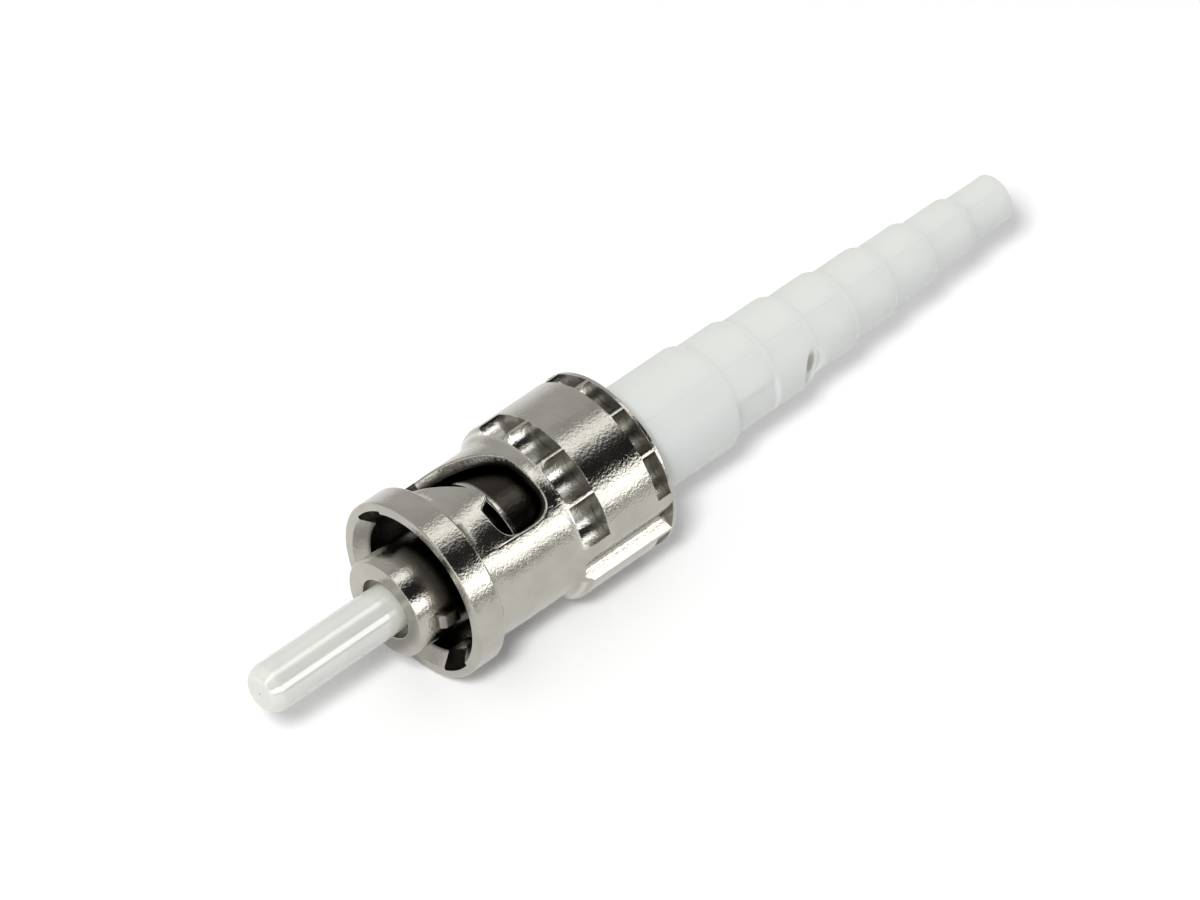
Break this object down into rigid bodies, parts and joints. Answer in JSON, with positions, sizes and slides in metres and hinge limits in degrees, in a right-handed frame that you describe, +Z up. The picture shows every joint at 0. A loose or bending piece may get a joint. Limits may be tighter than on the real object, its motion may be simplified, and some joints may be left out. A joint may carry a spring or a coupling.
{
  "type": "st fibre connector",
  "caption": "Fibre-optic bayonet plug: ceramic ferrule in a sprung barrel, slotted twist-lock coupling nut with fluted grip, and a stepped white strain relief boot.",
  "frame": {"origin": "on the axis, in the front face of the barrel, where the ferrule comes out", "axes": "+X along the axis toward the boot's tail, +Z up, +Y completes a right-handed frame; the alignment key sits 80 degrees from +Z, turned toward -Y"},
  "size_m": [0.0482, 0.0096, 0.0096],
  "materials": {
    "zirconia": "polished",
    "nickel_brass": "nickel plated, satin",
    "nickel_casting": "nickel plated over a slightly grainy casting",
    "spring_steel": "satin",
    "clear_plastic": "smooth",
    "boot_plastic": "fine matte, slightly translucent white"
  },
  "bodies": {
    "connector": {"ferrule": "zirconia", "barrel": "nickel_brass", "alignment_key": "nickel_brass", "spring": "spring_steel", "retaining_ring": "spring_steel", "guide_tube": "clear_plastic", "strain_relief_boot": "boot_plastic"},
    "washer": {"thrust_washer": "spring_steel"},
    "nut": {"coupling_nut": "nickel_casting"}
  },
  "joints": [
    {"name": "nut_slide", "type": "slide", "parent": "connector", "child": "washer", "axis": [-1, 0, 0], "range_m": [0, 0.0016], "stiffness_N_per_m": 1200, "springref_m": -0.0025, "deforming": ["spring"]},
    {"name": "nut_turn", "type": "hinge", "parent": "washer", "child": "nut", "pos_m": [0.008, 0, 0], "axis": [1, 0, 0], "continuous": true}
  ]
}
